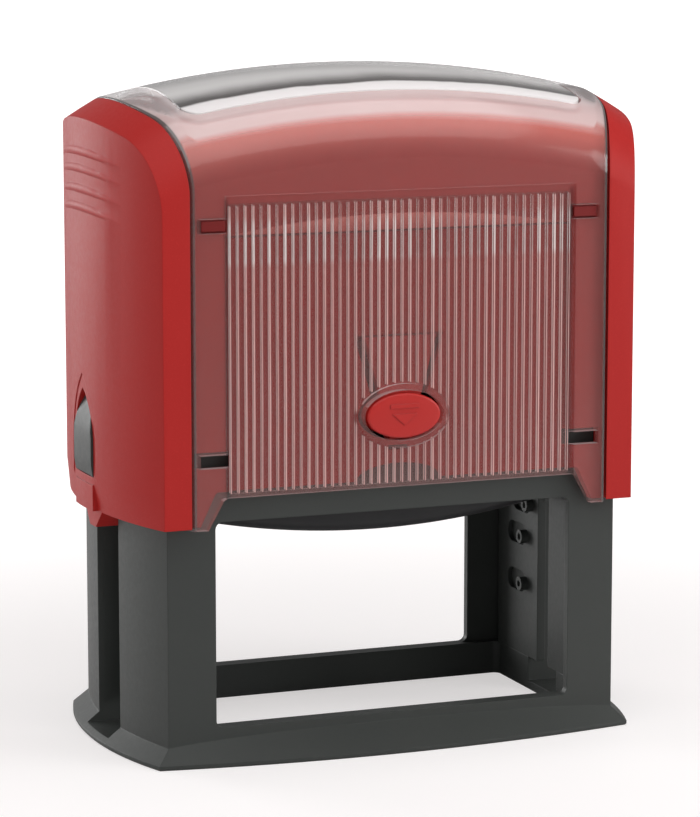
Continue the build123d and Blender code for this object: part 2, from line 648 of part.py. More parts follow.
with BuildPart() as index_card:
    with BuildSketch(Plane.XY.offset(PANEL_TOP)):
        card_x = WINDOW_X - CARD_INSET
        card_y = WINDOW_Y - CARD_INSET
        RectangleRounded(2 * card_x, 2 * card_y, WINDOW_ROUND - CARD_INSET)
    extrude(amount=TOP)
    add(dome(SEAT - CARD_THICKNESS), mode=Mode.INTERSECT)
    add(dome(SEAT), mode=Mode.SUBTRACT)
index_card.part.label = "index_card"
export_step(index_card.part, "parts/index_card.step")

with BuildPart() as spring_cup:
    with BuildSketch(Plane.XY.offset(SPRING_TOP - CUP_DEPTH)):
        Circle(COIL_RADIUS + WIRE / 2 + CUP_GAP + CUP_WALL)
    extrude(amount=TOP)
    with BuildSketch(Plane.XY.offset(SPRING_TOP - CUP_DEPTH)):
        Circle(COIL_RADIUS + WIRE / 2 + CUP_GAP)
    extrude(amount=CUP_DEPTH + CUP_GAP, mode=Mode.SUBTRACT)
    add(dome(CAVITY), mode=Mode.INTERSECT)
spring_cup.part.label = "spring_cup"
export_step(spring_cup.part, "parts/spring_cup.step")

# ================================================================ side pieces of the housing
for side, hand in ((-1, "left"), (1, "right")):
    # The cap that carries the axle: it hangs from the end wall and slides in the frame's side slot.
    with BuildPart() as axle_cap:
        with BuildSketch(Plane.XY.offset(CAP_LOW)):
            with Locations((side * (CAP_START + HOUSING_BOW), 0)):
                Rectangle(2 * HOUSING_BOW, 2 * CAP_HALF)
            cap_limit = bowed_outline(CAVITY_X - CAP_SEAT_GAP, HOUSING_Y - CAVITY, CAVITY_BOW)
            add(cap_limit, mode=Mode.INTERSECT)
        extrude(amount=CAP_TOP - CAP_LOW)
        low_ends = axle_cap.edges().filter_by(Axis.X).group_by(Axis.Z)[0]
        chamfer(low_ends, length=CAP_CHAMFER)
        with BuildSketch(Plane.YZ):
            with Locations((0, AXLE_Z)):
                Circle(PIN_RADIUS + BEARING_GAP)
        extrude(amount=FAR, both=True, mode=Mode.SUBTRACT)
    axle_cap.part.label = f"{hand}_axle_cap"
    export_step(axle_cap.part, f"parts/{hand}_axle_cap.step")

    # Pointed insert in the end wall, with its tip rolled away.
    insert_reach = HOUSING_X + HOUSING_BOW + INSERT_PROUD
    with BuildPart() as side_insert:
        with BuildSketch(Plane.YZ.offset(side * (CAVITY_X + CAVITY_BOW))):
            add(pointed_arch(ARCH_HALF, ARCH_LOW, ARCH_HEIGHT, ARCH_SPRING))
        extrude(amount=side * CAVITY_BOW)
        with BuildSketch(Plane.XZ):
            with Locations((side * (insert_reach - INSERT_ROLL), ARCH_LOW + INSERT_CENTRE)):
                Circle(INSERT_ROLL)
        extrude(amount=HOUSING_Y, both=True, mode=Mode.INTERSECT)
        with BuildSketch(Plane.XY.offset(ARCH_LOW)):
            add(bowed_outline(HOUSING_X + INSERT_PROUD, HOUSING_Y, HOUSING_BOW))
        extrude(amount=ARCH_HEIGHT, mode=Mode.INTERSECT)
    side_insert.part.label = f"{hand}_side_insert"
    export_step(side_insert.part, f"parts/{hand}_side_insert.step")

# ================================================================ lock buttons
for y_side, hand in ((-1, "front"), (1, "rear")):
    wall_y = HOUSING_Y - SEAT
    back_of_arm = Plane.XZ.offset(-y_side * (wall_y - ARM_THICKNESS))
    outwards = -y_side
    with BuildPart() as lock_button:
        # Tapered spring arm, and the lip at the button's foot.
        with BuildSketch(back_of_arm):
            with BuildLine():
                Polyline(
                    (-ARM_LOW_X, BUTTON_Z),
                    (ARM_LOW_X, BUTTON_Z),
                    (ARM_ROOT_X, ARM_ROOT),
                    (-ARM_ROOT_X, ARM_ROOT),
                    close=True,
                )
            make_face()
            lip_height = BUTTON_HEIGHT + LIP_DROP
            with Locations((0, BUTTON_Z - lip_height / 2)):
                Rectangle(2 * LIP_X, lip_height)
        extrude(amount=outwards * ARM_THICKNESS)
        # The oval face that the finger meets.
        with BuildSketch(back_of_arm):
            with Locations((0, BUTTON_Z)):
                Ellipse(BUTTON_X, BUTTON_HEIGHT)
        extrude(amount=outwards * (ARM_THICKNESS + SEAT + BUTTON_PROUD))
        face_edge = lock_button.edges().group_by(Axis.Y)[0 if y_side < 0 else -1]
        fillet(face_edge, radius=BUTTON_ROUND)
        # A bar over a downward mark, raised on the face.
        with BuildSketch(Plane.XZ.offset(outwards * (HOUSING_Y + BUTTON_PROUD))):
            with Locations((0, BUTTON_Z + MARK_BAR_RISE)):
                Rectangle(*MARK_BAR)
            with Locations((0, BUTTON_Z - MARK_POINT_DROP)):
                Triangle(a=MARK_POINT[0], b=MARK_POINT[1], c=MARK_POINT[1], rotation=180)
        extrude(amount=outwards * MARK_HEIGHT)
        # The peg that enters the frame's window.
        with BuildSketch(back_of_arm):
            with Locations((0, BUTTON_Z - PEG_DROP)):
                RectangleRounded(*PEG, CARRIER_RIB / 2)
        extrude(amount=-outwards * PEG_LENGTH)
    lock_button.part.label = f"lock_button_{hand}"
    export_step(lock_button.part, f"parts/lock_button_{hand}.step")

# ================================================================ carrier with the text plate
with BuildPart() as stamp_carrier:
    # Body with a bowed belly.
    with BuildSketch(Plane.XZ):
        with BuildLine():
            flange_low = AXLE_Z + FLANGE_TOP - FLANGE_THICKNESS
            end_low = AXLE_Z - BELLY_END
            Polyline(
                (-CARRIER_X, end_low),
                (-CARRIER_X, flange_low),
                (CARRIER_X, flange_low),
                (CARRIER_X, end_low),
            )
            ThreePointArc((CARRIER_X, end_low), (0, AXLE_Z - BELLY), (-CARRIER_X, end_low))
        make_face()
    extrude(amount=CARRIER_Y, both=True)
    belly_edges = stamp_carrier.edges().filter_by(GeomType.CIRCLE)
    fillet(belly_edges, radius=BELLY_ROUND)
    # Lightening pockets, open at the belly.
    pocket_x = (2 * (CARRIER_X - CARRIER_END) - (POCKET_COLUMNS - 1) * CARRIER_RIB) / POCKET_COLUMNS
    pocket_y = (2 * (CARRIER_Y - CARRIER_RIB) - (POCKET_ROWS - 1) * CARRIER_RIB) / POCKET_ROWS
    with BuildSketch(Plane.XY.offset(flange_low)):
        with GridLocations(pocket_x + CARRIER_RIB, pocket_y + CARRIER_RIB, POCKET_COLUMNS, POCKET_ROWS):
            RectangleRounded(pocket_x, pocket_y, CARRIER_RIB)
    extrude(amount=-FAR, mode=Mode.SUBTRACT)
    # Flange under the text plate.
    with BuildSketch(Plane.XY.offset(flange_low)):
        RectangleRounded(2 * FLANGE_X, 2 * FLANGE_Y, CARRIER_RIB)
    extrude(amount=FLANGE_THICKNESS)
    # Bores for the axle pins.
    with BuildSketch(Plane.YZ):
        with Locations((0, AXLE_Z)):
            Circle(PIN_RADIUS + FIT_GAP)
    extrude(amount=FAR, both=True, mode=Mode.SUBTRACT)
stamp_carrier.part.label = "stamp_carrier"
export_step(stamp_carrier.part, "parts/stamp_carrier.step")

for side, hand in ((-1, "left"), (1, "right")):
    with BuildPart() as flip_cam:
        with BuildSketch(Plane.YZ.offset(side * CAM_START)):
            with Locations((0, AXLE_Z)):
                Circle(CAM_RADIUS)
                Rectangle(2 * CAM_FLAT, 2 * CAM_FLAT, mode=Mode.INTERSECT)
                Circle(PIN_RADIUS + FIT_GAP, mode=Mode.SUBTRACT)
        extrude(amount=side * CAM_THICKNESS)
        chamfer(flip_cam.edges().filter_by(Axis.X), length=DECK_CHAMFER)
    flip_cam.part.label = f"{hand}_flip_cam"
    export_step(flip_cam.part, f"parts/{hand}_flip_cam.step")

    with BuildPart() as axle_pin:
        with BuildSketch(Plane.YZ.offset(side * PIN_START)):
            with Locations((0, AXLE_Z)):
                Circle(PIN_RADIUS)
        extrude(amount=side * (PIN_END - PIN_START))
        chamfer(axle_pin.edges().filter_by(GeomType.CIRCLE), length=DECK_CHAMFER)
    axle_pin.part.label = f"{hand}_axle_pin"
    export_step(axle_pin.part, f"parts/{hand}_axle_pin.step")

with BuildPart() as mount_cushion:
    with BuildSketch(Plane.XY.offset(AXLE_Z + FLANGE_TOP)):
        cushion_x = PLATE_LENGTH + 2 * CUSHION_MARGIN
        cushion_y = PLATE_DEPTH + 2 * CUSHION_MARGIN
        RectangleRounded(cushion_x, cushion_y, CUSHION_THICKNESS)
    extrude(amount=CUSHION_THICKNESS)
mount_cushion.part.label = "mount_cushion"
export_step(mount_cushion.part, "parts/mount_cushion.step")

# The rubber plate has a plain frame and rows of plain bars in relief, and no letters.
with BuildPart() as text_plate:
    plate_z = AXLE_Z + FLANGE_TOP + CUSHION_THICKNESS
    with BuildSketch(Plane.XY.offset(plate_z)):
        Rectangle(PLATE_LENGTH, PLATE_DEPTH)
    extrude(amount=RUBBER_THICKNESS)
    with BuildSketch(Plane.XY.offset(plate_z + RUBBER_THICKNESS)):
        Rectangle(PLATE_LENGTH - RELIEF_MARGIN, PLATE_DEPTH - RELIEF_MARGIN)
        frame_x = PLATE_LENGTH - RELIEF_MARGIN - 2 * RELIEF_LINE
        frame_y = PLATE_DEPTH - RELIEF_MARGIN - 2 * RELIEF_LINE
        Rectangle(frame_x, frame_y, mode=Mode.SUBTRACT)
        row_step = frame_y / (len(RELIEF_ROWS) + 1)
        for row, share in enumerate(RELIEF_ROWS):
            with Locations((0, frame_y / 2 - (row + 1) * row_step)):
                Rectangle(frame_x * share, RELIEF_BAR)
    extrude(amount=RELIEF_HEIGHT)
text_plate.part.label = "text_plate"
export_step(text_plate.part, "parts/text_plate.step")

# ================================================================ return spring
with BuildPart() as return_spring:
    coil_height = SPRING_TOP - DECK_TOP - WIRE
    coil = Edge.make_helix(
        coil_height / COIL_TURNS, coil_height, COIL_RADIUS, center=(0, 0, DECK_TOP + WIRE / 2)
    )
    with BuildSketch(Plane(origin=coil @ 0, z_dir=coil % 0)):
        Circle(WIRE / 2)
    sweep(path=coil, is_frenet=True)
return_spring.part.label = "return_spring"
export_step(return_spring.part, "parts/return_spring.step")
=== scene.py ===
"""Looks of the self-inking stamp: moulded plastics, the clear cover, felt, foam, rubber and spring wire."""

import json
import logging
import math
from dataclasses import dataclass
from enum import Enum
from typing import Optional, Union

import bmesh
import bpy
from mathutils import Matrix, Vector


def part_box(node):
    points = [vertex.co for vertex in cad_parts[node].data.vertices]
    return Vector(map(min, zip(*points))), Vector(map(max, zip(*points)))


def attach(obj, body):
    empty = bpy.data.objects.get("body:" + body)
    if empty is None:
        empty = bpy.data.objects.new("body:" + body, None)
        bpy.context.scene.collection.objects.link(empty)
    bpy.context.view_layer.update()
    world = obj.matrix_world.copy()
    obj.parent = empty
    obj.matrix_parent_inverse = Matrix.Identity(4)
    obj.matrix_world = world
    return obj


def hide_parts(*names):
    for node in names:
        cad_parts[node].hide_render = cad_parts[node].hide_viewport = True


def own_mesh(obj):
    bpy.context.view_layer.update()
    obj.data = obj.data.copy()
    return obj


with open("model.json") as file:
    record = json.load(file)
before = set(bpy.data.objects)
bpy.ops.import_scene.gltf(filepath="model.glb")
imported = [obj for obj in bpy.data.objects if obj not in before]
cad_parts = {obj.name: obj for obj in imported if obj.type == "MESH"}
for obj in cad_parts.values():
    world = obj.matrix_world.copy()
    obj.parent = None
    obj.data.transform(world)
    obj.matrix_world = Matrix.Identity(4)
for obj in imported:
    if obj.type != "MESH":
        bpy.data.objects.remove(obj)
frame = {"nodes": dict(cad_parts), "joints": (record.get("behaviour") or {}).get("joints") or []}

log = logging.getLogger("stamp")
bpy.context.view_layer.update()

MM = 0.001
Colour = tuple[float, float, float]
Place = tuple[float, float, float]
Span = tuple[float, float]
Number = Union["Wire", float]


# ---------------------------------------------------------------- shader tools
class Wire:
    """One output of a shader node, on which arithmetic adds Math nodes."""

    def __init__(self, shader: "Shader", socket: bpy.types.NodeSocket) -> None:
        """Wraps a socket.

        Args:
            shader: The material under construction.
            socket: The output that this wire stands for.
        """
        self.shader = shader
        self.socket = socket

    def _math(self, operation: str, *values: Number) -> "Wire":
        """Adds one Math node.

        Args:
            operation: The Math node's operation.
            values: Its inputs, in order.

        Returns:
            The node's result.
        """
        return self.shader.node("ShaderNodeMath", {"operation": operation}, *values)

    def __add__(self, other: Number) -> "Wire":
        """Sum."""
        return self._math("ADD", self, other)

    __radd__ = __add__

    def __sub__(self, other: Number) -> "Wire":
        """Difference."""
        return self._math("SUBTRACT", self, other)

    def __rsub__(self, other: Number) -> "Wire":
        """Difference the other way round."""
        return self._math("SUBTRACT", other, self)

    def __mul__(self, other: Number) -> "Wire":
        """Product."""
        return self._math("MULTIPLY", self, other)

    __rmul__ = __mul__

    def absolute(self) -> "Wire":
        """The value without its sign."""
        return self._math("ABSOLUTE", self)

    def fraction(self) -> "Wire":
        """What is left above the next lower whole number."""
        return self._math("FRACT", self)

    def power(self, exponent: float) -> "Wire":
        """The value's size raised to a power."""
        return self._math("POWER", self.absolute(), exponent)

    def whole(self) -> "Wire":
        """The nearest whole number."""
        return self._math("ROUND", self)

    def clamped(self) -> "Wire":
        """The value held between 0 and 1."""
        return self.shader.node("ShaderNodeClamp", {}, self)

    def step(self, low: float, high: float) -> "Wire":
        """Smooth step from 0 at low to 1 at high.

        Args:
            low: Where the step starts.
            high: Where it ends.

        Returns:
            The stepped value.
        """
        settings = {"interpolation_type": "SMOOTHSTEP"}
        return self.shader.node("ShaderNodeMapRange", settings, self, low, high, 0.0, 1.0)


class Shader:
    """A material whose nodes are added one call at a time."""

    def __init__(self, name: str) -> None:
        """Starts an empty node tree with a Principled shader.

        Args:
            name: The material's name.
        """
        self.material = bpy.data.materials.new(name)
        self.material.use_nodes = True
        self.tree = self.material.node_tree
        self.tree.nodes.clear()
        self.output = self.tree.nodes.new("ShaderNodeOutputMaterial")
        self.principled = self.tree.nodes.new("ShaderNodeBsdfPrincipled")
        self.tree.links.new(self.principled.outputs[0], self.output.inputs[0])

    def node(self, kind: str, settings: dict, *values: object, out: int = 0, **named: object) -> Wire:
        """Adds a node.

        Args:
            kind: The node's type.
            settings: Properties set before its sockets.
            values: Values or wires for its first inputs, in order; None leaves one alone.
            out: Which output to return.
            named: Values or wires for inputs by name, with spaces written as underscores.

        Returns:
            The chosen output.
        """
        made = self.tree.nodes.new(kind)
        for key, value in settings.items():
            setattr(made, key, value)
        for index, value in enumerate(values):
            if value is not None:
                self._feed(made.inputs[index], value)
        for key, value in named.items():
            self._feed(made.inputs[key.replace("_", " ")], value)
        return Wire(self, made.outputs[out])

    def _feed(self, socket: bpy.types.NodeSocket, value: object) -> None:
        """Links a wire to a socket, or sets the socket's own value.

        Args:
            socket: The input.
            value: A wire, a number, a colour or a vector.
        """
        if isinstance(value, Wire):
            self.tree.links.new(value.socket, socket)
        elif isinstance(value, tuple) and socket.type == "RGBA":
            socket.default_value = (*value, 1.0)
        else:
            socket.default_value = value

    def set(self, **inputs: object) -> None:
        """Feeds the Principled shader.

        Args:
            inputs: Values or wires by socket name, with spaces written as underscores.
        """
        for key, value in inputs.items():
            self._feed(self.principled.inputs[key.replace("_", " ")], value)

    def glow(self, share: Wire, colour: Colour, strength: float) -> None:
        """Lets the surface give light of its own.

        Args:
            share: How much of it is glow, 0 to 1.
            colour: The light's colour.
            strength: The light's strength.
        """
        light = self.node("ShaderNodeEmission", {}, colour, strength)
        lit = Wire(self, self.principled.outputs[0])
        mix = self.node("ShaderNodeMixShader", {}, share, lit, light)
        self.tree.links.new(mix.socket, self.output.inputs[0])

    def place(self) -> Wire:
        """Object coordinates."""
        return self.node("ShaderNodeTexCoord", {}, out=3)

    def axes(self) -> tuple[Wire, Wire, Wire]:
        """Object coordinates, one wire for each of X, Y and Z."""
        across = self.node("ShaderNodeSeparateXYZ", {}, self.place())
        outputs = across.socket.node.outputs
        return across, Wire(self, outputs[1]), Wire(self, outputs[2])

    def tilt(self) -> Wire:
        """How far the surface faces up: 0 on an upright wall, 1 on a level top."""
        facing = self.node("ShaderNodeTexCoord", {}, out=1)
        return self.node("ShaderNodeSeparateXYZ", {}, facing, out=2)

    def noise(self, scale: float, detail: float = 2.0, roughness: float = 0.5) -> Wire:
        """Noise over object coordinates.

        Args:
            scale: Cells to the metre.
            detail: Octaves.
            roughness: How strongly the finer octaves count.

        Returns:
            The noise value, about 0 to 1.
        """
        return self.node("ShaderNodeTexNoise", {}, self.place(), None, scale, detail, roughness)

    def blend(self, factor: Number, first: object, second: object) -> Wire:
        """Mixes two colours.

        Args:
            factor: 0 gives the first, 1 the second.
            first: A colour or a wire.
            second: A colour or a wire.

        Returns:
            The mixed colour.
        """
        made = self.tree.nodes.new("ShaderNodeMix")
        made.data_type = "RGBA"
        self._feed(made.inputs["Factor"], factor)
        for name, value in (("A", first), ("B", second)):
            socket = next(s for s in made.inputs if s.name == name and s.type == "RGBA")
            self._feed(socket, value)
        return Wire(self, next(s for s in made.outputs if s.type == "RGBA"))

    def bump(self, height: Wire, strength: float, distance: float, rounding: float = 0.0) -> Wire:
        """Bump from a height, on a normal that may round the edges.

        Args:
            height: The height, 0 to 1.
            strength: The bump's strength.
            distance: Depth of a full step, in metres.
            rounding: Radius by which edges are rounded in shading, in metres.

        Returns:
            The normal.
        """
        if rounding:
            rounded = self.node("ShaderNodeBevel", {"samples": 4}, rounding)
            return self.node("ShaderNodeBump", {}, strength, distance, Height=height, Normal=rounded)
        return self.node("ShaderNodeBump", {}, strength, distance, Height=height)


# ---------------------------------------------------------------- finishes
@dataclass(frozen=True)
class MouldedPlastic:
    """Matt plastic from a spark-eroded mould: fine grain, soft broad sheen, faint cloudiness."""

    name: str
    colour: Colour
    warmer: Colour
    grain_scale: float = 2600.0
    grain_depth: float = 0.06 * MM
    grain: float = 0.35
    grain_mix: Span = (0.7, 0.3)
    coarse_ratio: float = 0.35
    roughness: float = 0.5
    roughness_swing: float = 0.16
    rounding: float = 0.3 * MM
    cloud_scale: float = 28.0
    cloud_share: float = 0.35
    speckle: float = 0.0
    speckle_span: Span = (0.56, 0.7)
    speckle_gain: float = 1.9
    speckle_lift: float = 0.03
    gloss: float = 0.3
    ior: float = 1.53

    def marked(self, shader: Shader, tone: Wire) -> Wire:
        """The tone with light and shade painted for one moulding; plain plastic has none.

        Args:
            shader: The material under construction.
            tone: The plastic's tone.

        Returns:
            The tone to use.
        """
        return tone

    def make(self) -> bpy.types.Material:
        """The finished material."""
        shader = Shader(self.name)
        cloud = shader.noise(self.cloud_scale, 3.0).step(0.3, 0.7)
        fine = shader.noise(self.grain_scale, 3.0, 0.65)
        coarse = shader.noise(self.grain_scale * self.coarse_ratio)
        tone = shader.blend(cloud * self.cloud_share, self.colour, self.warmer)
        if self.speckle:
            light = tuple(min(1.0, c * self.speckle_gain + self.speckle_lift) for c in self.colour)
            tone = shader.blend(fine.step(*self.speckle_span) * self.speckle, tone, light)
        height = fine * self.grain_mix[0] + coarse * self.grain_mix[1]
        shader.set(
            Base_Color=self.marked(shader, tone),
            Roughness=coarse * self.roughness_swing + (self.roughness - self.roughness_swing / 2),
            Normal=shader.bump(height, self.grain, self.grain_depth, self.rounding),
            Specular_IOR_Level=self.gloss,
            IOR=self.ior,
        )
        return shader.material


@dataclass(frozen=True)
class ShellPlastic(MouldedPlastic):
    """Plastic of the shell, with a painted highlight on the sloping brow, a painted shadow line under it and
    painted shade on the lugs.
    """

    # Painted highlight: paler colour on the sloping brow, where the light falls.
    polished: Colour = (0.95, 0.30, 0.26)
    # Painted shade: dark colour for the shadow line under the brow and for the lugs.
    recess: Colour = (0.12, 0.012, 0.012)
    brow_low: float = 110.3 * MM
    brow_rise: float = 3.4 * MM
    brow_half: float = 38.0 * MM
    brow_foot: float = 0.4
    # Width of the painted shadow line under the brow.
    line: float = 0.45 * MM
    line_share: float = 0.85
    lug_place: Span = (41.4 * MM, 112.55 * MM)
    lug_half: Span = (3.0 * MM, 1.5 * MM)
    lug_share: float = 0.8
    soft: float = 0.1 * MM

    def marked(self, shader: Shader, tone: Wire) -> Wire:
        """The tone with a painted highlight on the brow, a painted shadow line under it and painted shade on
        the lugs.

        Args:
            shader: The material under construction.
            tone: The plastic's tone.

        Returns:
            The tone to use.
        """
        across, _, height = shader.axes()
        side, soft = across.absolute(), self.soft
        arc = (1.0 - (across * (1 / self.brow_half)).power(2.0)) * self.brow_rise
        over = height - self.brow_low
        # Painted highlight over the brow, weaker towards its foot.
        brow_highlight_mask = over.step(0.0, soft) * (1.0 - (over - arc).step(-3 * soft, 0.0))
        brow_highlight_mask = brow_highlight_mask * (over * ((1 - self.brow_foot) / self.brow_rise) + self.brow_foot)
        inside = 1.0 - side.step(self.brow_half, self.brow_half + 10 * soft)
        # Painted shadow line just under the brow.
        under = inside * over.step(-self.line - soft, -self.line) * (1.0 - over.step(-soft, 0.0))
        (lug_x, lug_z), (half_x, half_z) = self.lug_place, self.lug_half
        # Painted shade on the lugs, which sit in holes of the cover.
        lug_shade_mask = 1.0 - (side - lug_x).absolute().step(half_x, half_x + soft)
        lug_shade_mask = lug_shade_mask * (1.0 - (height - lug_z).absolute().step(half_z, half_z + soft))
        # Painted highlight laid over the brow.
        tone = shader.blend(brow_highlight_mask, tone, self.polished)
        # Painted shade on the shadow line and on the lugs.
        painted_shade_mask = (under * self.line_share + lug_shade_mask * self.lug_share).clamped()
        return shader.blend(painted_shade_mask, tone, self.recess)


@dataclass(frozen=True)
class ClearPlastic:
    """Clear plastic with a faint waviness and a thin gloss on top."""

    ior: float = 1.58
    gloss: float = 0.5
    coat: float = 0.4
    wave_scale: float = 170.0
    wave: float = 0.06
    wave_depth: float = 0.4 * MM

    def polish(self, shader: Shader, coat_roughness: float, rounding: float = 0.0) -> None:
        """Gives the shader its gloss and waviness.

        Args:
            shader: The material under construction.
            coat_roughness: Roughness of the gloss on top.
            rounding: Radius by which edges are rounded in shading, in metres.
        """
        waves = shader.noise(self.wave_scale)
        shader.set(
            Normal=shader.bump(waves, self.wave, self.wave_depth, rounding),
            IOR=self.ior,
            Specular_IOR_Level=self.gloss,
            Coat_Weight=self.coat,
            Coat_Roughness=coat_roughness,
        )


@dataclass(frozen=True)
class GlossyLid(ClearPlastic):
    """Glossy lid with a painted reflection: it darkens towards its long edges up to a wavy line, with a pale
    margin outside.
    """

    name: str = "clear_lid"
    # Painted reflection: pale in the middle, dark towards the long edges, pale again in the margin.
    middle: Colour = (0.90, 0.87, 0.86)
    edge: Colour = (0.07, 0.058, 0.056)
    margin: Colour = (0.93, 0.88, 0.88)
    edge_start: float = 9.0 * MM
    edge_end: float = 20.4 * MM
    margin_end: float = 21.6 * MM
    ripple_scale: float = 90.0
    ripple: float = 2.0 * MM
    darkening: float = 1.6
    cover: float = 0.66
    edge_cover: float = 0.3

    def make(self) -> bpy.types.Material:
        """The finished material."""
        shader = Shader(self.name)
        _, depth, _ = shader.axes()
        ripple = (shader.noise(self.ripple_scale) - 0.5) * self.ripple
        place = depth.absolute() + ripple
        # Painted reflection, darkening towards the long edges and pale again in the margin.
        dark_reflection = place.step(self.edge_start, self.edge_end)
        margin = place.step(self.edge_end, self.margin_end)
        tone = shader.blend(dark_reflection.power(self.darkening), self.middle, self.edge)
        shader.set(
            Base_Color=shader.blend(margin, tone, self.margin),
            Alpha=dark_reflection * self.edge_cover + self.cover,
            Roughness=shader.noise(45.0, 3.0) * 0.06 + 0.02,
        )
        self.polish(shader, 0.04, 0.2 * MM)
        return shader.material


@dataclass(frozen=True)
class RibbedCover(ClearPlastic):
    """Smoky see-through cover, with a painted lit zone and a pale painted reflection over its shoulders,
    painted highlight lines in the valleys of its ribs and painted shade on their flanks.
    """

    name: str = "smoky_cover"
    smoke: Colour = (0.34, 0.15, 0.14)
    # Painted shade on the rib flanks and in the gutter.
    dark_smoke: Colour = (0.055, 0.04, 0.038)
    # Painted light: brighter red on the faces of the shoulder that tilt up.
    warm: Colour = (0.66, 0.19, 0.16)
    # Colours of the painted reflection on the shoulders: pale, whiter near the top, grey on the level top
    # near the ends.
    milk: Colour = (0.72, 0.55, 0.54)
    white: Colour = (0.84, 0.74, 0.74)
    top_grey: Colour = (0.36, 0.33, 0.33)
    # Colours of the painted highlight lines in the rib valleys.
    line: Colour = (0.86, 0.58, 0.55)
    bright_line: Colour = (1.0, 0.92, 0.90)
    rim: Colour = (0.10, 0.08, 0.078)
    # How much of what lies behind is covered, by the plastic itself and by each of its tones.
    cover: float = 0.24
    flow_cover: float = 0.06
    warm_cover: float = 0.26
    milky_cover: float = 0.2
    line_cover: float = 0.58
    bright_cover: float = 0.1
    flank_cover: float = 0.05
    gutter_cover: float = 0.08
    rim_cover: float = 0.5
    # The ribbed panel and the ring round the button.
    soft: float = 0.2 * MM
    pitch: float = 1.72 * MM
    panel_half: float = 37.84 * MM
    panel_side: float = 38.9 * MM
    panel_low: float = 57.5 * MM
    panel_high: float = 116.8 * MM
    ring_half: Span = (10.4 * MM, 6.9 * MM)
    ring_height: float = 71.6 * MM
    # The painted highlight lines in the rib valleys: how far each sways, where its valley starts,
    # the painted shade on one flank of each rib, and the stretch beside the brow where the highlights are
    # brighter.
    sway_scale: float = 60.0
    sway: float = 0.1 * MM
    valley: Span = (0.72, 0.9)
    flank: Span = (0.35, 0.75)
    brow: float = 110.3 * MM
    lively_rise: Span = (-8 * MM, -4 * MM)
    bright_rise: Span = (-7 * MM, -5 * MM)
    bright_fall: Span = (1.5 * MM, 4.5 * MM)
    # The tilt of the surface over which each painted tone of the shoulder comes in: the painted lit zone,
    # the pale painted reflection above it, its whiter top, and the grey painted reflection on the level top
    # near the ends.
    warm_tilt: Span = (0.04, 0.6)
    milky_tilt: Span = (0.54, 0.63)
    white_tilt: Span = (0.8, 0.96)
    level_tilt: Span = (0.86, 0.96)
    level_start: Span = (43.0 * MM, 48.0 * MM)
    # The dark rim at the bowed ends, and the painted shade in the gutter beside the ribbed panel.
    end_half: float = 46.0 * MM
    end_bow: float = 7.2 * MM
    half_depth: float = 32.8 * MM
    rim_margin: Span = (0.25 * MM, 0.7 * MM)
    gutter_soft: float = 0.1 * MM
    gutter_fade: float = 2.0 * MM

    def ribs(self, shader: Shader, across: Wire, height: Wire) -> tuple[Wire, Wire, Wire]:
        """The painted light pattern of the ribs.

        Args:
            shader: The material under construction.
            across: Place along X.
            height: Place along Z.

        Returns:
            The painted highlight lines in the valleys, the painted shade on one flank of each rib, and how
            bright the highlights are.
        """
        soft = self.soft
        inside = 1.0 - across.absolute().step(self.panel_half, self.panel_half + soft)
        inside = inside * height.step(self.panel_low - soft, self.panel_low)
        inside = inside * (1.0 - height.step(self.panel_high - 3 * soft, self.panel_high))
        oval = (across * (1 / self.ring_half[0])).power(2.0)
        oval = oval + ((height - self.ring_height) * (1 / self.ring_half[1])).power(2.0)
        inside = inside * oval.step(0.96, 1.04)
        sway = (shader.noise(self.sway_scale, 1.0) - 0.5) * self.sway
        turns = (across + sway) * (1 / self.pitch)
        phase = turns.fraction()
        # Painted highlight line in each valley.
        valley = ((phase - 0.5).absolute() * 2.0).step(*self.valley)
        # Painted shade on one flank of each rib.
        flank = phase.step(*self.flank) * (1.0 - valley) * inside
        # The painted highlights dim at random line by line and brighten in a stretch beside the brow.
        own = shader.node("ShaderNodeTexWhiteNoise", {"noise_dimensions": "1D"}, W=turns.whole())
        above = height - self.brow
        strength = 1.0 - own * (above.step(*self.lively_rise) * 0.35 + 0.25)
        bright = above.step(*self.bright_rise) * (1.0 - above.step(*self.bright_fall))
        return inside * valley * strength, flank, bright

    def borders(self, across: Wire, depth: Wire, height: Wire) -> tuple[Wire, Wire]:
        """The darker borders of the cover: the rim, and painted shade in the gutter.

        Args:
            across: Place along X.
            depth: Place along Y.
            height: Place along Z.

        Returns:
            The rim along the bowed ends, and the painted shade in the gutter beside the ribbed panel.
        """
        side = across.absolute()
        bowed = (depth * (1 / self.half_depth)).power(2.0)
        margin = (1.0 - bowed) * self.end_bow + self.end_half - side
        rim = 1.0 - margin.step(*self.rim_margin)
        # Painted shade in the gutter beside the ribbed panel.
        gutter = side.step(self.panel_half, self.panel_half + self.soft)
        gutter = gutter * (1.0 - side.step(self.panel_side, self.panel_side + self.gutter_soft))
        gutter = gutter * (1.0 - height.step(self.panel_high, self.panel_high + self.gutter_fade))
        return rim, gutter

    def make(self) -> bpy.types.Material:
        """The finished material."""
        shader = Shader(self.name)
        across, depth, height = shader.axes()
        lines, flank, bright = self.ribs(shader, across, height)
        rim, gutter = self.borders(across, depth, height)
        flow = shader.noise(45.0, 3.0, 0.55)
        tilt = shader.tilt()
        # Painted light on faces that tilt up, with a pale painted reflection higher on the shoulder.
        warm = tilt.step(*self.warm_tilt)
        reflection_mask = tilt.step(*self.milky_tilt) * (flow * 0.2 + 0.85)
        level = tilt.step(*self.level_tilt) * across.absolute().step(*self.level_start)
        # Painted shade on the rib flanks and in the gutter.
        tone = shader.blend((flank * 0.8 + gutter).clamped(), self.smoke, self.dark_smoke)
        # Painted light on faces that tilt up.
        tone = shader.blend(warm, tone, self.warm)
